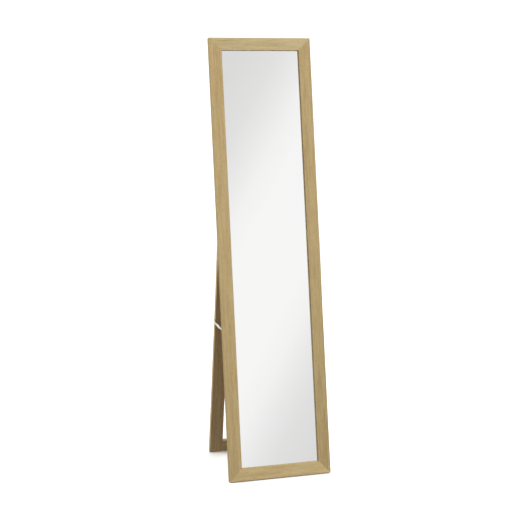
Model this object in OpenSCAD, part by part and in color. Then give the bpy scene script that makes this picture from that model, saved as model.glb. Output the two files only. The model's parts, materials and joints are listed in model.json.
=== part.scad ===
// Full-length floor mirror on a folding easel stand.
// A mitred timber frame holds the glass in a rebate. A ladder-shaped stand swings from a
// batten on the frame's back on two butt hinges, and two woven straps stop it when open.
// The mirror leans on its lower back edge, and the stand on the lower front edge of its legs.
// X is right, Y is back and Z is up. The origin is under the middle, on the floor. Units are mm.

/* [Mirror frame] */
// Width of the frame
frame_w = 380; // [374:1:386]
// Length of the frame along its lean
frame_h = 1580; // [1400:1:1900]
// Depth of the frame from front to back
frame_d = 23; // [20:1:32]
// Width of each frame member's face
face_w = 45; // [43:1:48]

/* [Glass and backing] */
// Depth of the lip in front of the glass
lip_t = 8; // [3:0.5:9]
// Width of the rebate behind the lip
rebate_w = 8; // [5:0.5:9]
// Thickness of the glass
glass_t = 3; // [2:0.5:4]
// Thickness of the backing board
board_t = 3; // [2:0.5:4]

/* [Stand] */
// Width of the stand over its legs
stand_w = 319; // [314:1:326]
// Width of each leg's face
leg_w = 49; // [40:1:60]
// Thickness of the stand's members
leg_t = 18; // [14:1:20]
// Height of the hinge line, measured up the frame
hinge_z = 1120; // [900:5:1200]
// Angle between the frame and the open stand, in degrees
open_angle = 18.3; // [14:0.1:24]
// Height of the stand's top rail
top_rail_h = 48; // [45:1:80]
// Height of the stand's bottom rail
bottom_rail_h = 45; // [42:1:80]

/* [Straps] */
// Distance from the hinge line down to the straps' places on the legs
strap_drop = 587; // [350:1:700]
// Width of the woven strap
strap_w = 8; // [6:1:8]
// Thickness of the woven strap
strap_t = 1; // [0.6:0.1:1.2]

/* [Hidden] */

oak = [0.70, 0.61, 0.45];
shaded_oak = [0.46, 0.39, 0.28];
steel = [0.72, 0.72, 0.70];
brass = [0.66, 0.55, 0.33];
ribbon = [0.92, 0.92, 0.90];

// Faces drawn past a surface by this much cut it cleanly
cut = 1;

// The glass sits a little loose in the rebate
glass_play = 1;
glass_w = frame_w - 2 * face_w + 2 * rebate_w - 2 * glass_play;
glass_h = frame_h - 2 * face_w + 2 * rebate_w - 2 * glass_play;
board_back = lip_t + glass_t + board_t;

// Bent steel nails across each mitre, driven from the back
v_nail_leg = 6;
v_nail_wall = 0.5;
v_nail_depth = 10;
v_nail_angle = 35;
v_nail_places = [13, 25];

// Flat steel points that hold the backing board
point_w = 5;
point_l = 14;
point_t = 0.6;
point_grip = 6;
points_up_stile = 6;
points_along_rail = 2;

// The folded stand stays this far behind the frame, and below the batten
fold_gap = 1;
end_gap = 1;
// The folded stand's feet stop this far above the frame's lower edge
foot_lift = 7;

// Butt hinges with three knuckles
leaf_t = 1.5;
leaf_w = 40;
leaf_h = 22;
pin_r = 1.5;
pin_play = 0.05;
knuckle_r = leaf_t + pin_r;
knuckle_gap = 0.3;
knuckle_w = (leaf_w - 2 * knuckle_gap) / 3;
knuckle_relief = 0.4;
pin_head_r = 2.2;
pin_head_h = 0.8;
hinge_x = 70;
hinge_screw_x = 12;
hinge_screw_z = 14;

// Batten across the back of the stiles
batten_t = fold_gap + leg_t;
batten_h = 45;
batten_w = 350;
batten_screw_x = 165;
batten_screw_z = 11;

// Screws: shank radius, length, head radius and head height
hinge_screw = [1.5, 11, 3, 1.2];
batten_screw = [2, 30, 4, 2.4];
strap_screw = [1.4, 13, 3.5, 2];
tip_l = 3;
recess_w = 0.9;
recess_d = 0.8;

dowel_r = 4;
dowel_half = 18;
dowel_spread = 12;

// Where the hinge line and the back faces of the folded stand lie, from the frame's front
stand_front = frame_d + fold_gap;
stand_back = stand_front + leg_t;
hinge_y = stand_back + knuckle_r;
leg_top = hinge_z - end_gap;
leg_l = leg_top - foot_lift;
rail_l = stand_w - 2 * leg_w;

// A point given with the stand folded, turned with the stand to its open place
function opened(p) = let (y = p[0] - hinge_y, z = p[1] - hinge_z)
    [hinge_y + y * cos(open_angle) - z * sin(open_angle),
     hinge_z + y * sin(open_angle) + z * cos(open_angle)];

// The frame leans until the feet are level with its lower back edge
foot = opened([stand_front, foot_lift]);
lean = atan2(foot[1], foot[0] - frame_d);

// A point measured from the frame's front, as it stands in the room
function stood(p) = let (y = p[0] - frame_d, z = p[1])
    [y * cos(lean) + z * sin(lean), z * cos(lean) - y * sin(lean)];

front_y = stood([0, 0])[0];
back_y = stood(opened([stand_back, foot_lift]))[0];
middle_y = (front_y + back_y) / 2;

// Each strap runs from a pivot behind the frame to a higher one beside its leg. The folded
// strap hangs down from both, so it creases where its two parts reach equally low.
strap_side = 0.4;
strap_fall = 10;
strap_frame = [frame_d + 1, hinge_z - strap_drop - strap_fall];
strap_leg = [stand_front + leg_t / 2, hinge_z - strap_drop];
strap_leg_open = opened(strap_leg);
strap_run = strap_leg_open - strap_frame;
strap_front_l = (norm(strap_run) - strap_fall) / 2;
strap_rear_l = (norm(strap_run) + strap_fall) / 2;
strap_angle = atan2(strap_run[1], strap_run[0]);
strap_rear_x = stand_w / 2 + strap_side;
strap_front_x = strap_rear_x + strap_t + 0.1;
strap_end_l = 13;
strap_end_gap = 5.5;
frame_end_gap = 1.5;
strap_screw_up = strap_end_gap + 6;
frame_screw_up = frame_end_gap + 6;

$fn = 48;

// Places of the frame and of the stand

module in_frame()
    translate([0, -middle_y, 0]) rotate([-lean, 0, 0]) translate([0, -frame_d, 0]) children();

module in_stand()
    in_frame() translate([0, hinge_y, hinge_z]) rotate([open_angle, 0, 0])
        translate([0, -hinge_y, -hinge_z]) children();

// Left and right copies of something drawn on the right
module both_sides() {
    children();
    mirror([1, 0, 0]) children();
}

// Screws, drawn along -Y into the wood with the head's seat at the origin

module screw_shank(s) {
    rotate([90, 0, 0]) cylinder(r = s[0], h = s[1] - tip_l);
    translate([0, tip_l - s[1], 0]) rotate([90, 0, 0]) cylinder(r1 = s[0], r2 = 0.1, h = tip_l);
}

module cross_recess(s)
    for (turn = [0, 90])
        rotate([0, turn, 0])
            cube([1.1 * s[2], 2 * recess_d, recess_w], center = true);

// The head's face is level with the origin, and it narrows into the surface
module countersunk_shape(s) {
    screw_shank(s);
    rotate([90, 0, 0]) cylinder(r1 = s[2], r2 = s[0], h = s[3]);
}

module countersunk_screw(s)
    difference() {
        countersunk_shape(s);
        cross_recess(s);
    }

// The head is a shallow dome that stands on the surface
module dome_screw(s)
    difference() {
        union() {
            screw_shank(s);
            rotate([-90, 0, 0]) rotate_extrude() dome_profile(s);
        }
        translate([0, s[3], 0]) cross_recess(s);
    }

// A quarter of the head: a low rim with a rounded shoulder
module dome_profile(s) {
    rim = s[3] * 0.35;
    crown = s[3] - rim;
    square([s[2], rim]);
    square([s[2] - crown, s[3]]);
    intersection() {
        translate([s[2] - crown, rim]) circle(r = crown);
        square([s[2], s[3]]);
    }
}

// Mirror frame

module v_nail()
    for (side = [-1, 1])
        rotate([0, -side * v_nail_angle, 0])
            translate([side > 0 ? 0 : -v_nail_wall, 0, 0])
                cube([v_nail_wall, v_nail_depth, v_nail_leg]);

module corner_nails()
    both_sides()
        for (top = [0, 1])
            translate([0, 0, top * frame_h]) mirror([0, 0, top])
                for (p = v_nail_places)
                    translate([frame_w / 2 - p, frame_d - v_nail_depth, p])
                        rotate([0, -45, 0]) v_nail();

module glass_room() {
    w = frame_w - 2 * face_w + 2 * rebate_w;
    h = frame_h - 2 * face_w + 2 * rebate_w;
    translate([-w / 2, lip_t, frame_h / 2 - h / 2]) cube([w, frame_d, h]);
}

// One tapered member, seen from the front, with its long side at the bottom
module mitred_bar(long)
    rotate([90, 0, 0]) mirror([0, 0, 1]) linear_extrude(frame_d)
        polygon([[0, 0], [long, 0], [long - face_w, face_w], [face_w, face_w]]);

module frame_rail(top)
    color(oak) in_frame()
        difference() {
            translate([-frame_w / 2, 0, top * frame_h]) mirror([0, 0, top]) mitred_bar(frame_w);
            glass_room();
            corner_nails();
            point_slots();
        }

module top_rail() frame_rail(1);

module bottom_rail() frame_rail(0);

// The right stile is drawn, and the left one is its mirror image
module stile()
    difference() {
        translate([frame_w / 2, 0, 0]) rotate([0, -90, 0]) mitred_bar(frame_h);
        glass_room();
        corner_nails();
        point_slots();
        batten_fixings();
        frame_strap_fixings();
    }

module right_stile() color(oak) in_frame() stile();

module left_stile() color(oak) in_frame() mirror([1, 0, 0]) stile();

module corner_v_nails() color(steel) in_frame() corner_nails();

// Glass and what holds it

module mirror_glass()
    color([0.85, 0.88, 0.89]) in_frame()
        translate([-glass_w / 2, lip_t, (frame_h - glass_h) / 2]) cube([glass_w, glass_t, glass_h]);

module backing_board()
    color([0.45, 0.34, 0.24]) in_frame()
        translate([-glass_w / 2, lip_t + glass_t, (frame_h - glass_h) / 2])
            cube([glass_w, board_t, glass_h]);

// One point lies on the board and grips the wood past the rebate, towards +X
module board_point(slot = 0)
    translate([-point_l + point_grip, 0, -point_w / 2]) cube([point_l, point_t, point_w]);

module point_slots() {
    rebate_x = frame_w / 2 - face_w + rebate_w;
    rebate_z = face_w - rebate_w;
    stile_step = (frame_h - 2 * face_w) / points_up_stile;
    rail_step = (frame_w - 2 * face_w) / points_along_rail;
    both_sides()
        for (i = [0 : points_up_stile - 1])
            translate([rebate_x, board_back, face_w + (i + 0.5) * stile_step]) board_point();
    for (i = [0 : points_along_rail - 1], top = [0, 1])
        translate([(i + 0.5) * rail_step - frame_w / 2 + face_w, board_back,
                   top ? frame_h - rebate_z : rebate_z])
            rotate([0, top ? -90 : 90, 0]) board_point();
}

module retaining_points() color(steel) in_frame() point_slots();

// Batten and its screws

module batten_places()
    both_sides()
        for (z = [-batten_screw_z, batten_screw_z])
            translate([batten_screw_x, frame_d + batten_t, hinge_z + end_gap + batten_h / 2 + z])
                children();

module batten_fixings() batten_places() countersunk_shape(batten_screw);

module hinge_batten()
    color(shaded_oak) in_frame()
        difference() {
            translate([-batten_w / 2, frame_d, hinge_z + end_gap]) cube([batten_w, batten_t, batten_h]);
            batten_fixings();
            fixed_hinge_places() countersunk_shape(hinge_screw);
        }

module batten_screws() color(steel) in_frame() batten_places() countersunk_screw(batten_screw);

// Stand, drawn folded against the frame

module dowels()
    both_sides()
        for (z = [leg_top - top_rail_h / 2, foot_lift + bottom_rail_h / 2],
             dz = [-dowel_spread, dowel_spread])
            translate([rail_l / 2 - dowel_half, stand_front + leg_t / 2, z + dz])
                rotate([0, 90, 0]) cylinder(r = dowel_r, h = 2 * dowel_half);

module leg()
    difference() {
        translate([stand_w / 2 - leg_w, stand_front, foot_lift]) cube([leg_w, leg_t, leg_l]);
        dowels();
        leg_strap_places() screw_shank(strap_screw);
    }

module right_leg() color(shaded_oak) in_stand() leg();

module left_leg() color(shaded_oak) in_stand() mirror([1, 0, 0]) leg();

module cross_bar(z, h)
    difference() {
        translate([-rail_l / 2, stand_front, z]) cube([rail_l, leg_t, h]);
        dowels();
        moving_hinge_places() countersunk_shape(hinge_screw);
    }

module stand_top_rail() color(shaded_oak) in_stand() cross_bar(leg_top - top_rail_h, top_rail_h);

module stand_bottom_rail() color(shaded_oak) in_stand() cross_bar(foot_lift, bottom_rail_h);

module stand_dowels() color(shaded_oak) in_stand() dowels();

// Hinges, drawn about their own pin line with the leaf towards +Z

module hinge_screw_places()
    for (x = [-hinge_screw_x, hinge_screw_x])
        translate([x, leaf_t - knuckle_r, hinge_screw_z]) children();

module knuckle(from, to, bore)
    difference() {
        translate([from, 0, 0]) rotate([0, 90, 0]) cylinder(r = knuckle_r, h = to - from);
        translate([from - cut, 0, 0]) rotate([0, 90, 0]) cylinder(r = bore, h = to - from + 2 * cut);
    }

module leaf_plate(gaps)
    difference() {
        translate([-leaf_w / 2, -knuckle_r, 0]) cube([leaf_w, leaf_t, leaf_h]);
        for (g = gaps)
            translate([g[0], -knuckle_r - cut, -cut])
                cube([g[1] - g[0], leaf_t + 2 * cut, cut + knuckle_r + knuckle_relief]);
        rotate([0, 90, 0]) cylinder(r = pin_r + pin_play, h = leaf_w + 2 * cut, center = true);
        hinge_screw_places() countersunk_shape(hinge_screw);
    }

// The two outer knuckles are on the batten's leaf and hold the pin
module fixed_leaf() {
    inner = knuckle_w / 2 + knuckle_gap;
    leaf_plate([[-inner, inner]]);
    knuckle(-leaf_w / 2, -inner, pin_r);
    knuckle(inner, leaf_w / 2, pin_r);
}

module moving_leaf() {
    inner = knuckle_w / 2;
    mirror([0, 0, 1])
        leaf_plate([[-leaf_w / 2 - cut, -inner], [inner, leaf_w / 2 + cut]]);
    knuckle(-inner, inner, pin_r + pin_play);
}

module hinge_pin() {
    rotate([0, 90, 0]) cylinder(r = pin_r, h = leaf_w, center = true);
    for (side = [0, 1])
        mirror([side, 0, 0]) translate([leaf_w / 2, 0, 0]) rotate([0, 90, 0])
            cylinder(r1 = pin_head_r, r2 = pin_r, h = pin_head_h);
}

module hinge_at(side) translate([side * hinge_x, hinge_y, hinge_z]) children();

module fixed_hinge_places() for (side = [-1, 1]) hinge_at(side) hinge_screw_places() children();

module moving_hinge_places()
    for (side = [-1, 1])
        hinge_at(side) mirror([0, 0, 1]) hinge_screw_places() children();

module left_hinge_fixed_leaf() color(steel) in_frame() hinge_at(-1) fixed_leaf();

module right_hinge_fixed_leaf() color(steel) in_frame() hinge_at(1) fixed_leaf();

module left_hinge_moving_leaf() color(steel) in_stand() hinge_at(-1) moving_leaf();

module right_hinge_moving_leaf() color(steel) in_stand() hinge_at(1) moving_leaf();

module left_hinge_pin() color(steel) in_frame() hinge_at(-1) hinge_pin();

module right_hinge_pin() color(steel) in_frame() hinge_at(1) hinge_pin();

module batten_hinge_screws()
    color(steel) in_frame() fixed_hinge_places() countersunk_screw(hinge_screw);

module stand_hinge_screws()
    color(steel) in_stand() moving_hinge_places() countersunk_screw(hinge_screw);

// Straps: each has an end screwed to the frame, two parts that fold, and an end on the leg

module frame_strap_places()
    both_sides()
        translate([strap_front_x + strap_w / 2, frame_d, strap_frame[1] + frame_screw_up]) children();

module frame_strap_fixings() frame_strap_places() screw_shank(strap_screw);

module leg_strap_places()
    both_sides()
        translate([stand_w / 2, strap_leg[0], strap_leg[1] + strap_screw_up])
            rotate([0, 0, -90]) children();

module strap_frame_ends()
    color(ribbon) in_frame()
        difference() {
            both_sides()
                translate([strap_front_x, frame_d, strap_frame[1] + frame_end_gap])
                    cube([strap_w, strap_t, strap_end_l]);
            frame_strap_places() screw_shank_through();
        }

module strap_leg_ends()
    color(ribbon) in_stand()
        difference() {
            both_sides()
                translate([stand_w / 2, strap_leg[0] - strap_w / 2, strap_leg[1] + strap_end_gap])
                    cube([strap_t, strap_w, strap_end_l]);
            leg_strap_places() screw_shank_through();
        }

// The part of a strap screw's shank that lies in the strap
module screw_shank_through()
    rotate([-90, 0, 0]) translate([0, 0, -cut]) cylinder(r = strap_screw[0], h = strap_t + 2 * cut);

module strap_screws_at()
    translate([0, strap_t, 0]) dome_screw(strap_screw + [0, strap_t, 0, 0]);

module frame_strap_screws() color(steel) in_frame() frame_strap_places() strap_screws_at();

module leg_strap_screws() color(brass) in_stand() leg_strap_places() strap_screws_at();

// The front part lies flat, and the rear part stands on edge beside the leg
module strap_front_part()
    translate([strap_front_x, strap_frame[0], strap_frame[1]]) rotate([strap_angle, 0, 0])
        translate([0, 0, -strap_t / 2]) cube([strap_w, strap_front_l, strap_t]);

module strap_rear_part()
    translate([strap_rear_x, strap_leg_open[0], strap_leg_open[1]]) rotate([strap_angle, 0, 0])
        translate([0, -strap_rear_l, -strap_w / 2]) cube([strap_t, strap_rear_l, strap_w]);

module right_strap_front() color(ribbon) in_frame() strap_front_part();

module left_strap_front() color(ribbon) in_frame() mirror([1, 0, 0]) strap_front_part();

module right_strap_rear() color(ribbon) in_frame() strap_rear_part();

module left_strap_rear() color(ribbon) in_frame() mirror([1, 0, 0]) strap_rear_part();

top_rail();
bottom_rail();
left_stile();
right_stile();
corner_v_nails();
mirror_glass();
backing_board();
retaining_points();
hinge_batten();
batten_screws();
left_leg();
right_leg();
stand_top_rail();
stand_bottom_rail();
stand_dowels();
left_hinge_fixed_leaf();
right_hinge_fixed_leaf();
left_hinge_moving_leaf();
right_hinge_moving_leaf();
left_hinge_pin();
right_hinge_pin();
batten_hinge_screws();
stand_hinge_screws();
strap_frame_ends();
strap_leg_ends();
left_strap_front();
right_strap_front();
left_strap_rear();
right_strap_rear();
frame_strap_screws();
leg_strap_screws();
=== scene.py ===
"""Looks of a full-length floor mirror on a folding easel stand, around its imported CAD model."""
import json
import math

import bmesh
import bpy
from mathutils import Matrix, Vector


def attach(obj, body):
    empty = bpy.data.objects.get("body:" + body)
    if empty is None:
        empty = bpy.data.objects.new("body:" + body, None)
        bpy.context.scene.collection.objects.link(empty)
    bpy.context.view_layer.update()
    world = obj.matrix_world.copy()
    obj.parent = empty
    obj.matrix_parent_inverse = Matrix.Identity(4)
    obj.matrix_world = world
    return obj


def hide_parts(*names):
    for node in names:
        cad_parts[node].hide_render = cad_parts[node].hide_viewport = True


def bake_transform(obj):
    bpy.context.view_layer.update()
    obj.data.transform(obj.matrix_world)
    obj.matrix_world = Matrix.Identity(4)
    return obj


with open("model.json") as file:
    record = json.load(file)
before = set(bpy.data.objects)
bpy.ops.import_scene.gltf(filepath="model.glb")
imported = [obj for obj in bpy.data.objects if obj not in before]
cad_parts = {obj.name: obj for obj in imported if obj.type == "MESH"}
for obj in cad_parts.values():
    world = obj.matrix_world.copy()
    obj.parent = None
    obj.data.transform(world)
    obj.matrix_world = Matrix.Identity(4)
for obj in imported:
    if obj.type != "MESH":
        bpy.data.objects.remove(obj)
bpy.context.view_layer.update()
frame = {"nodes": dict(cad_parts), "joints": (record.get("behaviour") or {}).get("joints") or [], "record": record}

# ---------------------------------------------------------------- facts from the frame

MM = 0.001
X = Vector((1, 0, 0))
ALIGNED = 0.99
MOUNTS = {m["name"]: m for m in frame["record"]["mounts"]}
JOINTS = {j["name"]: j for j in frame["joints"]}
FRAME_UP = -Vector(MOUNTS["frame_foot_face"]["axis"]).normalized()
STAND_UP = -Vector(MOUNTS["stand_foot_face"]["axis"]).normalized()
FRAME_BACK = FRAME_UP.cross(X)
STAND_BACK = STAND_UP.cross(X)
FRAME_TILT = math.atan2(FRAME_UP.y, FRAME_UP.z)
STAND_TILT = math.atan2(STAND_UP.y, STAND_UP.z)
SIDES = {"left": -1, "right": 1}


def span(node, direction):
    """Lowest and highest place of a CAD node along a direction."""
    places = [v.co.dot(direction) for v in frame["nodes"][node].data.vertices]
    return min(places), max(places)


# ---------------------------------------------------------------- camera, light, floor

CAMERA_PLACE = Vector((-1.4187, -4.3627, 1.4522))
CAMERA_TURN = math.radians(17.704)
CAMERA_PITCH = math.radians(8.423)
FOCAL_PX = 1272.4
IMAGE_PX = 515
SENSOR_MM = 36
FARTHEST = 100


def make_camera():
    data = bpy.data.cameras.new("camera")
    data.sensor_width = SENSOR_MM
    data.lens = FOCAL_PX / IMAGE_PX * SENSOR_MM
    data.clip_end = FARTHEST
    camera = bpy.data.objects.new("camera", data)
    bpy.context.scene.collection.objects.link(camera)
    turn = Matrix.Rotation(-CAMERA_TURN, 4, "Z") @ Matrix.Rotation(math.pi / 2 - CAMERA_PITCH, 4, "X")
    camera.matrix_world = Matrix.Translation(CAMERA_PLACE) @ turn
    bpy.context.scene.camera = camera


# Each light's place, the point it looks at, its width and height, its watts and its colour
LIGHTS = {
    "key": ((0.5, -3.4, 3.0), (0, 0, 1.0), (2.4, 1.8), 113, (1.0, 0.99, 0.965)),
    "side": ((-3.0, 1.3, 1.7), (0, 0.1, 0.8), (1.4, 2.2), 60, (1.0, 0.99, 0.97)),
    "back": ((1.9, 3.2, 2.3), (0, 0, 0.9), (2.2, 2.0), 60, (0.98, 0.99, 1.0)),
}


def area_light(name, place, aim, size, watts, colour):
    data = bpy.data.lights.new(name, "AREA")
    data.shape = "RECTANGLE"
    data.size, data.size_y = size
    data.energy = watts
    data.color = colour
    light = bpy.data.objects.new(name, data)
    bpy.context.scene.collection.objects.link(light)
    light.location = place
    light.rotation_mode = "QUATERNION"
    light.rotation_quaternion = (Vector(aim) - Vector(place)).to_track_quat("-Z", "Y")
    light.visible_glossy = False


def make_lights():
    for name, settings in LIGHTS.items():
        area_light(name, *settings)


# A white studio. Mirrors and polish see a strip of light that crosses a light grey room: its
# normal, how far it is moved along that, and its brightness at some distances from its middle.
STRIP_AXIS = (4.987, 1.069, -3.305)
STRIP_SHIFT = -0.0473
STRIP_STEPS = ((0.15, 0.975), (0.25, 0.940), (0.35, 0.860), (0.45, 0.790), (0.60, 0.745))
WHITE = (1, 1, 1, 1)
BACKDROP_LIGHT = 1.3
GROUND_LIGHT = 0.25
HORIZON_LIGHT = 0.3
ZENITH_LIGHT = 1.55
HORIZON_DEPTH = 0.02


def make_world():
    world = bpy.data.worlds.new("studio")
    bpy.context.scene.world = world
    world.use_nodes = True
    tree = world.node_tree
    tree.nodes.clear()
    way = node(tree, "ShaderNodeTexCoord").outputs["Generated"]
    along = node(tree, "ShaderNodeVectorMath", {0: way, 1: STRIP_AXIS}, operation="DOT_PRODUCT")
    off = maths(tree, "ABSOLUTE", maths(tree, "ADD", along.outputs["Value"], STRIP_SHIFT))
    strip = ramp(tree, off, STRIP_STEPS)
    height = node(tree, "ShaderNodeSeparateXYZ", {0: way}).outputs[2]
    up = node(tree, "ShaderNodeMapRange", {"Value": height, "To Min": HORIZON_LIGHT,
              "To Max": ZENITH_LIGHT}).outputs["Result"]
    below = node(tree, "ShaderNodeMapRange", {"Value": height, "From Min": -HORIZON_DEPTH, "From Max": 0.0,
                 "To Min": GROUND_LIGHT - HORIZON_LIGHT, "To Max": 0.0}).outputs["Result"]
    sky = maths(tree, "ADD", up, below)
    seen = node(tree, "ShaderNodeBackground", {"Color": WHITE, "Strength": BACKDROP_LIGHT})
    reflected = node(tree, "ShaderNodeBackground", {"Color": strip, "Strength": 1.0})
    soft = node(tree, "ShaderNodeBackground", {"Color": WHITE, "Strength": sky})
    path = node(tree, "ShaderNodeLightPath").outputs
    direct = maths(tree, "LESS_THAN", path["Diffuse Depth"], 0.5)
    gloss = maths(tree, "MULTIPLY", path["Is Glossy Ray"], direct)
    lit = node(tree, "ShaderNodeMixShader", {0: gloss, 1: soft.outputs[0], 2: reflected.outputs[0]})
    both = node(tree, "ShaderNodeMixShader", {0: path["Is Camera Ray"], 1: lit.outputs[0],
                2: seen.outputs[0]})
    node(tree, "ShaderNodeOutputWorld", {"Surface": both.outputs[0]})


FLOOR_SIZE = 12.0
FLOOR_GAP = 0.2 * MM


def make_floor():
    bm = bmesh.new()
    bmesh.ops.create_grid(bm, x_segments=1, y_segments=1, size=FLOOR_SIZE / 2)
    floor = new_piece("floor", bm, [floor_paint()])
    floor.location.z = -FLOOR_GAP
    floor.visible_diffuse = False


# ---------------------------------------------------------------- shader helpers

# How far one member's grain is moved from the next one's: across, through and along it
GRAIN_SHIFT = (0.37, 0.11, 1.73)


def node(tree, kind, inputs=(), **settings):
    """A new node, with its settings and with values or links on its inputs."""
    made = tree.nodes.new(kind)
    for name, value in settings.items():
        setattr(made, name, value)
    for name, value in dict(inputs).items():
        if isinstance(value, bpy.types.NodeSocket):
            tree.links.new(value, made.inputs[name])
        else:
            made.inputs[name].default_value = value
    return made


def maths(tree, operation, a, b=0.0):
    return node(tree, "ShaderNodeMath", {0: a, 1: b}, operation=operation).outputs[0]


def mix_colour(tree, share, a, b):
    made = node(tree, "ShaderNodeMix", data_type="RGBA")
    for name, value in (("Factor_Float", share), ("A_Color", a), ("B_Color", b)):
        socket = next(s for s in made.inputs if s.identifier == name)
        if isinstance(value, bpy.types.NodeSocket):
            tree.links.new(value, socket)
        else:
            socket.default_value = value
    return next(s for s in made.outputs if s.identifier == "Result_Color")


def ramp(tree, value, stops):
    """Turns a value into a colour, or into a grey where a stop is one number."""
    made = node(tree, "ShaderNodeValToRGB", {"Fac": value})
    for i, (place, colour) in enumerate(stops):
        stop = made.color_ramp.elements[i] if i < 2 else made.color_ramp.elements.new(place)
        stop.position = place
        stop.color = (*colour, 1) if isinstance(colour, tuple) else (colour, colour, colour, 1)
    return made.outputs["Color"]


def noise(tree, vector, scale, detail=2.0, roughness=0.5):
    """Noise over a vector that is first stretched by scale, one factor for each axis."""
    stretched = node(tree, "ShaderNodeVectorMath", {0: vector, 1: scale}, operation="MULTIPLY")
    return node(tree, "ShaderNodeTexNoise", {"Vector": stretched.outputs[0], "Scale": 1.0,
                "Detail": detail, "Roughness": roughness}).outputs["Fac"]


def new_material(name, **values):
    """A material with a Principled shader whose sockets hold these values."""
    material = bpy.data.materials.new(name)
    material.use_nodes = True
    shader = next(n for n in material.node_tree.nodes if n.type == "BSDF_PRINCIPLED")
    for socket, value in values.items():
        shader.inputs[socket.replace("_", " ")].default_value = value
    return material, material.node_tree, shader


def bump(tree, shader, height, strength, distance):
    made = node(tree, "ShaderNodeBump", {"Height": height, "Strength": strength, "Distance": distance})
    tree.links.new(made.outputs["Normal"], shader.inputs["Normal"])


def member_place(tree, tilt, along, seed):
    """Place within a timber member: across its face, through it, and along its grain."""
    place = node(tree, "ShaderNodeTexCoord").outputs["Object"]
    level = node(tree, "ShaderNodeMapping", {"Vector": place, "Rotation": (tilt, 0, 0)})
    parts = node(tree, "ShaderNodeSeparateXYZ", {0: level.outputs[0]}).outputs
    across, grain = (parts[0], parts[2]) if along == "z" else (parts[2], parts[0])
    joined = node(tree, "ShaderNodeCombineXYZ", {0: across, 1: parts[1], 2: grain})
    shift = [part * seed for part in GRAIN_SHIFT]
    moved = node(tree, "ShaderNodeVectorMath", {0: joined.outputs[0], 1: shift}, operation="ADD")
    return moved.outputs[0]


# ---------------------------------------------------------------- materials

# Colours, dark and pale
BOARD_DARK = (0.235, 0.150, 0.080)
BOARD_PALE = (0.400, 0.285, 0.170)
HARDBOARD_DARK = (0.085, 0.048, 0.025)
HARDBOARD_PALE = (0.225, 0.135, 0.072)
BEECH_DARK = (0.50, 0.33, 0.17)
BEECH_PALE = (0.66, 0.48, 0.29)
GLASS_HAZY = (0.933, 0.937, 0.929)
GLASS_CLEAR = (0.943, 0.944, 0.937)
ZINC_DARK = (0.37, 0.37, 0.365)
ZINC_PALE = (0.53, 0.53, 0.52)
BRASS_DARK = (0.44, 0.31, 0.12)
BRASS_PALE = (0.60, 0.44, 0.19)
TAPE_GREY = (0.66, 0.65, 0.62)
TAPE_WHITE = (0.86, 0.86, 0.84)
FLOOR_GREY = 0.945
FLOOR_WHITE = 0.955
OAK_PALE = (0.575, 0.440, 0.235)
OAK_MID = (0.485, 0.358, 0.174)
OAK_DARK = (0.370, 0.262, 0.118)
OAK_PORE = (0.235, 0.160, 0.078)
# A paler oak for the bevelled faces of rounded edges and joint grooves: a painted highlight.
OAK_EDGE_HIGHLIGHT = (0.66, 0.53, 0.33)
OAK_ROUGHNESS = 0.5

# Marks per metre, which in timber and in the glass go across, through and along the member
OAK_WANDER = (6, 6, 1.3)
OAK_BANDS = (30, 30, 1.5)
OAK_STREAKS = (190, 190, 8)
OAK_FIBRES = (900, 900, 26)
OAK_DASHES = (430, 430, 36)
OAK_PORES = (2400, 2400, 130)
OAK_FLECKS = (520, 520, 90)
BOARD_SPECKS = (900, 900, 900)
BOARD_CLOUDS = (14, 14, 9)
HARDBOARD_SPECKS = (700, 700, 700)
HARDBOARD_CLOUDS = (9, 9, 5)
GLASS_HAZE = (3, 3, 2)
GLASS_SMEARS = (40, 40, 5)
METAL_CLOUDS = (120, 120, 120)
METAL_BRUSH = (900, 900, 60)
BEECH_FIBRES = (12, 500, 500)
TAPE_FUZZ = (4200, 4200, 4200)
TAPE_DIRT = (60, 25, 60)
FLOOR_CLOUDS = (1.3, 1.3, 1.3)

RING_WIDTH = 5.2 * MM
RING_WANDER = 0.09
PITH_DEPTH = 0.02

# How much of its own colour each mark shows where it is strongest
DASH_SHARE = 0.34
PORE_SHARE = 0.55
FLECK_SHARE = 0.30


def weighted(tree, *parts):
    """The sum of several values, each a pair of a socket and its weight."""
    total = 0.0
    for value, weight in parts:
        total = node(tree, "ShaderNodeMath", {0: value, 1: weight, 2: total},
                     operation="MULTIPLY_ADD").outputs[0]
    return total


def woven(tree, across, along, pitch):
    """A plain weave's height over two lengths, between -1 and 1."""
    turn = 2 * math.pi / pitch
    over = maths(tree, "SINE", maths(tree, "MULTIPLY", across, turn))
    under = maths(tree, "SINE", maths(tree, "MULTIPLY", along, turn))
    return maths(tree, "MULTIPLY", over, under)


def growth_rings(tree, place):
    """Long arched ring lines, as where a board is sawn through a slightly wandering log."""
    wander = noise(tree, place, OAK_WANDER)
    parts = node(tree, "ShaderNodeSeparateXYZ", {0: place}).outputs
    across = weighted(tree, (wander, RING_WANDER), (parts[0], 1.0))
    depth = maths(tree, "ADD", parts[1], PITH_DEPTH)
    squares = [(maths(tree, "MULTIPLY", side, side), 1.0) for side in (across, depth)]
    radius = maths(tree, "SQRT", weighted(tree, *squares))
    return maths(tree, "FRACT", maths(tree, "DIVIDE", radius, RING_WIDTH))


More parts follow.
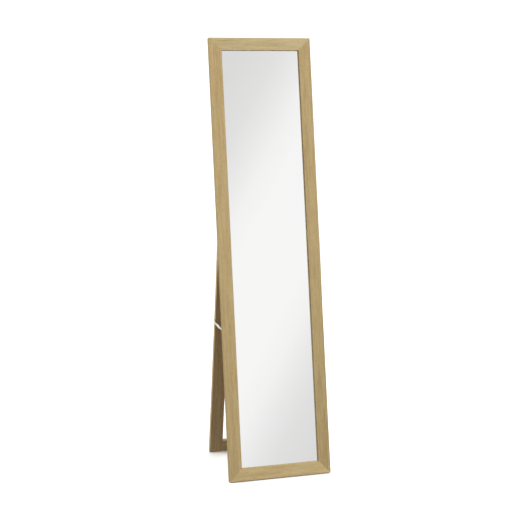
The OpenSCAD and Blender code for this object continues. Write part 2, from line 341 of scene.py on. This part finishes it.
def oak(name, tilt, along, seed, tint, edge_highlight=0.0):
    """Matt oak: slow bands, growth rings, fibre streaks, short dark pores and pale flecks."""
    material, tree, shader = new_material(name, Specular_IOR_Level=0.04)
    place = member_place(tree, tilt, along, seed)
    ring = growth_rings(tree, place)
    late = ramp(tree, ring, [(0.0, 0.15), (0.70, 0.45), (0.92, 1.0), (1.0, 0.15)])
    slow = noise(tree, place, OAK_BANDS)
    streak = noise(tree, place, OAK_STREAKS, roughness=0.55)
    fibre = noise(tree, place, OAK_FIBRES, roughness=0.6)
    dash = ramp(tree, noise(tree, place, OAK_DASHES, detail=1.0), [(0.62, 0.0), (0.72, 1.0)])
    pore = ramp(tree, noise(tree, place, OAK_PORES, detail=1.0), [(0.54, 0.0), (0.61, 1.0)])
    pore = maths(tree, "MULTIPLY", pore, ramp(tree, ring, [(0.0, 1.0), (0.45, 0.45), (1.0, 0.35)]))
    fleck = ramp(tree, noise(tree, place, OAK_FLECKS, detail=1.0), [(0.66, 0.0), (0.74, 1.0)])
    blend = weighted(tree, (slow, 0.32), (streak, 0.60), (fibre, 0.55), (late, 0.09))
    shades = [tuple(t * c for t, c in zip(tint, colour))
              for colour in (OAK_PALE, OAK_MID, OAK_DARK, OAK_PORE)]
    colour = ramp(tree, blend, [(0.49, shades[0]), (1.05, shades[2]), (0.77, shades[1])])
    colour = mix_colour(tree, maths(tree, "MULTIPLY", dash, DASH_SHARE), colour, (*shades[3], 1))
    colour = mix_colour(tree, maths(tree, "MULTIPLY", pore, PORE_SHARE), colour, (*shades[3], 1))
    colour = mix_colour(tree, maths(tree, "MULTIPLY", fleck, FLECK_SHARE), colour, (*shades[0], 1))
    # The bevelled faces are mixed towards a paler oak: a painted highlight along the edges.
    if edge_highlight:
        colour = mix_colour(tree, edge_highlight, colour, (*OAK_EDGE_HIGHLIGHT, 1))
    tree.links.new(colour, shader.inputs["Base Color"])
    rough = weighted(tree, (pore, 0.14), (streak, 0.16), (fibre, 0.10))
    tree.links.new(maths(tree, "ADD", rough, OAK_ROUGHNESS), shader.inputs["Roughness"])
    height = weighted(tree, (fibre, 0.6), (pore, -1.0), (dash, -0.5), (late, -0.3))
    bump(tree, shader, height, strength=0.4, distance=0.12 * MM)
    return material


def board_back():
    """Raw fibre board on the back of the frame, pale brown and finely speckled."""
    material, tree, shader = new_material("frame_back", Roughness=0.82, Specular_IOR_Level=0.2)
    place = member_place(tree, FRAME_TILT, "z", seed=3)
    speck = noise(tree, place, BOARD_SPECKS, detail=4.0, roughness=0.7)
    cloud = noise(tree, place, BOARD_CLOUDS, detail=3.0, roughness=0.6)
    colour = ramp(tree, weighted(tree, (speck, 0.7), (cloud, 0.3)),
                  [(0.32, BOARD_DARK), (0.68, BOARD_PALE)])
    tree.links.new(colour, shader.inputs["Base Color"])
    bump(tree, shader, speck, strength=0.3, distance=0.15 * MM)
    return material


SCREEN_PITCH = 1.7 * MM


def hardboard():
    """Brown hardboard with the woven mark of its screen on the rough side."""
    material, tree, shader = new_material("hardboard", Roughness=0.75, Specular_IOR_Level=0.25)
    place = member_place(tree, FRAME_TILT, "z", seed=5)
    parts = node(tree, "ShaderNodeSeparateXYZ", {0: place}).outputs
    screen = woven(tree, parts[0], parts[2], SCREEN_PITCH)
    speck = noise(tree, place, HARDBOARD_SPECKS, detail=4.0, roughness=0.65)
    cloud = noise(tree, place, HARDBOARD_CLOUDS, detail=3.0, roughness=0.6)
    mixed = weighted(tree, (speck, 0.55), (cloud, 0.45), (screen, 0.045))
    colour = ramp(tree, mixed, [(0.30, HARDBOARD_DARK), (0.72, HARDBOARD_PALE)])
    tree.links.new(colour, shader.inputs["Base Color"])
    height = weighted(tree, (screen, 0.5), (speck, 1.0))
    bump(tree, shader, height, strength=0.4, distance=0.2 * MM)
    return material


def silvered_glass():
    """Clear mirror glass with a very faint haze where it has been wiped."""
    material, tree, shader = new_material("silvered_glass", Metallic=1.0, Coat_Weight=0.6,
                                          Coat_Roughness=0.0)
    place = member_place(tree, FRAME_TILT, "z", seed=7)
    haze = noise(tree, place, GLASS_HAZE, detail=3.0, roughness=0.6)
    smear = noise(tree, place, GLASS_SMEARS)
    tint = ramp(tree, haze, [(0.3, GLASS_HAZY), (0.7, GLASS_CLEAR)])
    tree.links.new(tint, shader.inputs["Base Color"])
    rough = maths(tree, "MULTIPLY", maths(tree, "MULTIPLY", haze, smear), 0.02)
    tree.links.new(rough, shader.inputs["Roughness"])
    return material


ZINC_ROUGHNESS = 0.26
BRASS_ROUGHNESS = 0.22


def metal(name, dark, pale, roughness):
    """Plated metal with fine brush marks, which are rougher than the polish between them."""
    material, tree, shader = new_material(name, Metallic=1.0)
    place = node(tree, "ShaderNodeTexCoord").outputs["Object"]
    cloud = noise(tree, place, METAL_CLOUDS, detail=3.0, roughness=0.6)
    marks = noise(tree, place, METAL_BRUSH)
    colour = ramp(tree, cloud, [(0.3, dark), (0.65, pale)])
    tree.links.new(colour, shader.inputs["Base Color"])
    rough = maths(tree, "ADD", maths(tree, "MULTIPLY", marks, 0.22), roughness)
    tree.links.new(rough, shader.inputs["Roughness"])
    bump(tree, shader, marks, strength=0.12, distance=0.05 * MM)
    return material


def beech():
    """Turned beech, its fibres along the dowel."""
    material, tree, shader = new_material("beech", Roughness=0.6)
    place = node(tree, "ShaderNodeTexCoord").outputs["Object"]
    fibre = noise(tree, place, BEECH_FIBRES, detail=3.0, roughness=0.6)
    colour = ramp(tree, fibre, [(0.3, BEECH_DARK), (0.7, BEECH_PALE)])
    tree.links.new(colour, shader.inputs["Base Color"])
    bump(tree, shader, fibre, strength=0.2, distance=0.1 * MM)
    return material


WEAVE_PITCH = 0.55 * MM


def woven_tape():
    """White plain-woven tape. Its UV runs across and along it in metres."""
    material, tree, shader = new_material("woven_tape", Roughness=0.85, Sheen_Weight=0.25,
                                          Sheen_Roughness=0.5)
    place = node(tree, "ShaderNodeUVMap", uv_map="tape").outputs["UV"]
    parts = node(tree, "ShaderNodeSeparateXYZ", {0: place}).outputs
    threads = woven(tree, parts[0], parts[1], WEAVE_PITCH)
    fuzz = noise(tree, place, TAPE_FUZZ, roughness=0.6)
    dirt = noise(tree, place, TAPE_DIRT, detail=3.0, roughness=0.6)
    clean = weighted(tree, (threads, 0.16), (fuzz, 0.3), (dirt, 0.55))
    colour = ramp(tree, clean, [(0.2, TAPE_GREY), (0.6, TAPE_WHITE)])
    tree.links.new(colour, shader.inputs["Base Color"])
    height = weighted(tree, (threads, 1.0), (fuzz, 0.5))
    bump(tree, shader, height, strength=0.6, distance=0.12 * MM)
    return material


def floor_paint():
    """Matt white studio floor with hardly any cloud."""
    material, tree, shader = new_material("floor_paint", Roughness=0.7, Specular_IOR_Level=0.2)
    place = node(tree, "ShaderNodeTexCoord").outputs["Object"]
    cloud = noise(tree, place, FLOOR_CLOUDS, detail=3.0)
    colour = ramp(tree, cloud, [(0.3, FLOOR_GREY), (0.7, FLOOR_WHITE)])
    tree.links.new(colour, shader.inputs["Base Color"])
    return material


# ---------------------------------------------------------------- mesh helpers


def new_piece(name, bm, materials):
    mesh = bpy.data.meshes.new(name)
    bm.to_mesh(mesh)
    bm.free()
    for material in materials:
        mesh.materials.append(material)
    piece = bpy.data.objects.new(name, mesh)
    bpy.context.scene.collection.objects.link(piece)
    return piece


SHARP = math.radians(30)
FLAT = math.radians(0.4)
SAME_POINT = 0.001 * MM
ROUNDING_STEPS = 3


def whole_faces(cad_node):
    """A copy of a CAD node's mesh with its points joined and its flat faces whole."""
    mesh = frame["nodes"][cad_node].data.copy()
    if "custom_normal" in mesh.attributes:
        mesh.attributes.remove(mesh.attributes["custom_normal"])
    bm = bmesh.new()
    bm.from_mesh(mesh)
    bpy.data.meshes.remove(mesh)
    bmesh.ops.remove_doubles(bm, verts=bm.verts, dist=SAME_POINT)
    bmesh.ops.dissolve_limit(bm, angle_limit=FLAT, verts=bm.verts, edges=bm.edges)
    bm.normal_update()
    return bm


def rounded(cad_node, body, materials, width, shortest, joint_width=0.0, is_joint=None, paint=None):
    """A CAD node's shape with its long edges rounded. It rides on body and replaces the node.

    Edges shorter than shortest stay sharp. Those of the faces that is_joint picks get
    joint_width. paint gives each face its material's number from its normal."""
    bm = whole_faces(cad_node)
    weight = bm.edges.layers.float.new("bevel_weight_edge")
    for face in bm.faces:
        face.smooth = True
        face.material_index = paint(face.normal) if paint else 0
    for edge in bm.edges:
        if len(edge.link_faces) != 2 or edge.calc_face_angle(0) < SHARP:
            continue
        edge.smooth = False
        if edge.calc_length() < shortest:
            continue
        at_joint = is_joint and any(is_joint(f.normal) for f in edge.link_faces)
        edge[weight] = joint_width / width if at_joint else 1.0
        edge.smooth = edge[weight] > 0
    piece = new_piece(cad_node + "_shown", bm, materials)
    bevel = piece.modifiers.new("rounding", "BEVEL")
    bevel.limit_method = "WEIGHT"
    bevel.width = width
    bevel.segments = ROUNDING_STEPS
    bevel.harden_normals = True
    bevel.use_clamp_overlap = True
    if len(materials) > 1:
        bevel.material = 1
    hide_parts(cad_node)
    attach(piece, body)


# ---------------------------------------------------------------- timber

FRAME_EDGE = 0.9 * MM
STAND_EDGE = 1.1 * MM
MITRE_GROOVE = 0.18 * MM
SHORTEST_TIMBER_EDGE = 12 * MM


def is_mitre(normal):
    """Whether a face is a frame member's mitred end."""
    return abs(abs(normal.x) - math.sqrt(0.5)) < 1 - ALIGNED


def is_butt(normal):
    """Whether a face looks sideways, as those do where a rail of the stand meets a leg."""
    return abs(normal.x) > ALIGNED


# Which way each member's grain runs, its tint (partly its board's own tone, partly painted light and shade that
# makes some members lighter or darker), and where in the log it was cut
FRAME_MEMBERS = {
    "top_rail": ("x", (0.90, 0.968, 1.091), 1),
    "bottom_rail": ("x", (1.007, 1.044, 1.079), 3),
    "left_stile": ("z", (0.84, 0.847, 0.86), 31),
    "right_stile": ("z", (0.813, 0.826, 0.843), 19),
}
STAND_MEMBERS = {
    "left_leg": ("z", (1.04, 1.03, 1.08), 12),
    "right_leg": ("z", (0.95, 0.95, 0.95), 14),
    "stand_top_rail": ("x", (0.98, 0.98, 0.98), 16),
    "stand_bottom_rail": ("x", (1.0, 1.0, 1.0), 18),
}
BATTEN = {"hinge_batten": ("x", (0.96, 0.96, 0.96), 23)}
# How far the bevelled faces go towards the paler oak, as a painted highlight.
EDGE_HIGHLIGHT_SHARE = 0.18


def make_members(members, tilt, body, edge, is_joint, back=None):
    """Timber members of one panel. A back material covers their faces that look backwards."""
    for name, (along, tint, seed) in members.items():
        # The second material, on the bevelled faces, is the same oak with a painted highlight.
        materials = [oak(name + "_oak", tilt, along, seed, tint),
                     oak(name + "_edge", tilt, along, seed, tint, EDGE_HIGHLIGHT_SHARE)]
        paint = None
        if back:
            materials.append(back)
            paint = back_or_oak
        rounded(name, body, materials, edge, SHORTEST_TIMBER_EDGE, MITRE_GROOVE, is_joint, paint)


def back_or_oak(normal):
    """The number of a face's material: the back's for one that looks backwards."""
    return 2 if normal.dot(FRAME_BACK) > ALIGNED else 0


def make_timber():
    raw = board_back()
    make_members(FRAME_MEMBERS, FRAME_TILT, "mirror_frame", FRAME_EDGE, is_mitre, raw)
    make_members(STAND_MEMBERS, STAND_TILT, "stand", STAND_EDGE, is_butt)
    make_members(BATTEN, FRAME_TILT, "mirror_frame", STAND_EDGE, None)


# ---------------------------------------------------------------- glass, board and metal

METAL_EDGE = 0.18 * MM
SHORTEST_METAL_EDGE = 3 * MM
FRAME_METAL = ("left_hinge_fixed_leaf", "right_hinge_fixed_leaf", "left_hinge_pin",
               "right_hinge_pin", "batten_hinge_screws", "batten_screws", "frame_strap_screws",
               "corner_v_nails", "retaining_points")
STAND_METAL = ("left_hinge_moving_leaf", "right_hinge_moving_leaf", "stand_hinge_screws")


def dress(cad_node, material):
    """Puts a material on a CAD node that is shown as it is."""
    shown = frame["nodes"][cad_node]
    shown.data.materials.clear()
    shown.data.materials.append(material)
    shown.data.polygons.foreach_set("material_index", [0] * len(shown.data.polygons))


def make_glass_and_board():
    dress("mirror_glass", silvered_glass())
    dress("backing_board", hardboard())
    dress("stand_dowels", beech())


def make_metal():
    zinc = metal("zinc", ZINC_DARK, ZINC_PALE, ZINC_ROUGHNESS)
    brass = metal("brass", BRASS_DARK, BRASS_PALE, BRASS_ROUGHNESS)
    for name in FRAME_METAL:
        rounded(name, "mirror_frame", [zinc], METAL_EDGE, SHORTEST_METAL_EDGE)
    for name in STAND_METAL:
        rounded(name, "stand", [zinc], METAL_EDGE, SHORTEST_METAL_EDGE)
    rounded("leg_strap_screws", "stand", [brass], METAL_EDGE, SHORTEST_METAL_EDGE)


# ---------------------------------------------------------------- straps

TAPE_THICK = 0.85 * MM
# Shares of the tape's thickness, then shares of its half width, out from its middle
SELVEDGE_SWELL = 0.12
THINNEST = 0.06
SELVEDGE_PLACE = 0.86
SELVEDGE_SPREAD = 0.08
ROUND_STARTS = 0.93
TAPE_HALF = TAPE_THICK * (0.5 + SELVEDGE_SWELL)
TAPE_STEP = 1.2 * MM
TAPE_SIDE_POINTS = 9
TAPE_BEND = 2.2 * MM
BEND_STEPS = 8
TWIST_STARTS = 20 * MM
TWIST_ENDS = 12 * MM


def tape_section(width):
    """Points round a tape: flat faces, and a rounded selvedge, a little thicker, at each edge."""
    top = []
    for i in range(TAPE_SIDE_POINTS):
        u = i / (TAPE_SIDE_POINTS - 1) * 2 - 1
        off = (abs(u) - SELVEDGE_PLACE) / SELVEDGE_SPREAD
        past = max(0.0, (abs(u) - ROUND_STARTS) / (1 - ROUND_STARTS))
        half = (0.5 + SELVEDGE_SWELL * math.exp(-off ** 2)) * math.sqrt(1 - min(past, 1.0) ** 2)
        top.append((u * width / 2, TAPE_THICK * max(half, THINNEST)))
    return top + [(a, -b) for a, b in reversed(top)]


def tape(name, stations, width, cloth):
    """A woven tape through stations, each a place, a direction across it and one out of its face."""
    section = tape_section(width)
    bm = bmesh.new()
    uv = bm.loops.layers.uv.new("tape")
    rings = []
    runs = []
    run = 0.0
    last = stations[0][0]
    for place, across, out in stations:
        run += (place - last).length
        last = place
        runs.append(run)
        rings.append([bm.verts.new(place + across * a + out * b) for a, b in section])
    count = len(section)
    for i in range(len(rings) - 1):
        for j in range(count):
            k = (j + 1) % count
            face = bm.faces.new((rings[i][j], rings[i][k], rings[i + 1][k], rings[i + 1][j]))
            face.smooth = True
            corners = ((j, i), (k, i), (k, i + 1), (j, i + 1))
            for loop, (c, r) in zip(face.loops, corners):
                loop[uv].uv = (section[c][0], runs[r])
    for end in (0, -1):
        for loop in bm.faces.new(rings[end]).loops:
            loop[uv].uv = (0, runs[end])
    bmesh.ops.recalc_face_normals(bm, faces=bm.faces)
    return new_piece(name, bm, [cloth])


def ease(t):
    """A smooth step from 0 to 1 while t goes from 0 to 1."""
    t = min(max(t, 0.0), 1.0)
    return t * t * (3 - 2 * t)


def make_strap(side, sign, cloth):
    """One strap, in two parts that meet at its crease and a tab on the leg.

    It lies flat on the frame's back, bends off it and twists to lie on the leg's side. It is
    hung just below the pivots, so its upper sides meet when the strap folds at the crease."""
    front, rear = side + "_strap_front", side + "_strap_rear"
    frame_pivot = Vector(JOINTS[front + "_fold"]["pos_m"])
    leg_pivot = Vector(JOINTS[rear + "_fold"]["pos_m"])
    width = span(front, X)[1] - span(front, X)[0]
    way = leg_pivot - frame_pivot
    way.x = 0
    way.normalize()
    lift = X.cross(way)
    crease = frame_pivot + way * (span(front, way)[1] - frame_pivot.dot(way)) - lift * TAPE_HALF

    tape_front = tape(front + "_tape", front_stations(frame_pivot, crease, lift), width, cloth)
    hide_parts(front, "strap_frame_ends")
    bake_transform(tape_front)
    tape_rear = tape(rear + "_tape", rear_stations(sign, leg_pivot, crease, lift), width, cloth)
    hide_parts(rear)
    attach(tape_rear, rear + "_part")
    tab = tape(side + "_strap_leg_tab", tab_stations(side, sign, leg_pivot, width), width, cloth)
    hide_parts("strap_leg_ends")
    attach(tab, "stand")


def front_stations(pivot, crease, lift):
    """Down the frame's back, round a small bend, and out to the strap's crease."""
    face = span("left_stile", FRAME_BACK)[1] + TAPE_HALF
    top = span("strap_frame_ends", FRAME_UP)[1]
    level = pivot - lift * TAPE_HALF
    corner = level + FRAME_BACK * (face - level.dot(FRAME_BACK))
    centre = corner + FRAME_UP * TAPE_BEND + FRAME_BACK * TAPE_BEND
    rise = top - centre.dot(FRAME_UP)
    down = [(centre - FRAME_BACK * TAPE_BEND + FRAME_UP * rise * (1 - t), X, FRAME_BACK)
            for t in steps(rise)]
    bend = [(centre - FRAME_BACK * TAPE_BEND * math.cos(t) - FRAME_UP * TAPE_BEND * math.sin(t), X,
             FRAME_BACK * math.cos(t) + FRAME_UP * math.sin(t))
            for t in (math.pi / 2 * i / BEND_STEPS for i in range(1, BEND_STEPS))]
    begin = centre - FRAME_UP * TAPE_BEND
    out = [(begin.lerp(crease, t), X, lift) for t in steps((crease - begin).length)]
    return down + bend + out


def rear_stations(sign, pivot, crease, lift):
    """From beside the leg to the strap's crease, turning from on edge to flat."""
    begin = pivot - lift * TAPE_HALF + X * sign * TAPE_HALF / 2
    length = (crease - begin).length
    stations = []
    for t in steps(length):
        twisted = ease((t * length - TWIST_STARTS) / (length - TWIST_STARTS - TWIST_ENDS))
        place = begin.lerp(crease, t)
        place.x = begin.x + (crease.x - begin.x) * twisted
        turn = math.pi / 2 * twisted
        across = lift * math.cos(turn) - X * sign * math.sin(turn)
        out = X * sign * math.cos(turn) + lift * math.sin(turn)
        stations.append((place, across, out))
    return stations


def tab_stations(side, sign, pivot, width):
    """The last stretch, turned up along the leg's side under its screw."""
    foot = pivot - STAND_UP * width / 2
    foot.x = span(side + "_leg", X)[1 if sign > 0 else 0] + sign * TAPE_THICK / 2
    rise = span("strap_leg_ends", STAND_UP)[1] - foot.dot(STAND_UP)
    return [(foot + STAND_UP * rise * t, STAND_BACK, X * sign) for t in steps(rise)]


def steps(length):
    """Even shares of a length, from 0 to 1, about a tape step apart."""
    count = max(2, round(length / TAPE_STEP))
    return [i / count for i in range(count + 1)]


def make_straps():
    cloth = woven_tape()
    for side, sign in SIDES.items():
        make_strap(side, sign, cloth)


# ---------------------------------------------------------------- the whole picture

bpy.context.scene.view_settings.view_transform = "Standard"
make_camera()
make_world()
make_lights()
make_floor()
make_timber()
make_glass_and_board()
make_metal()
make_straps()
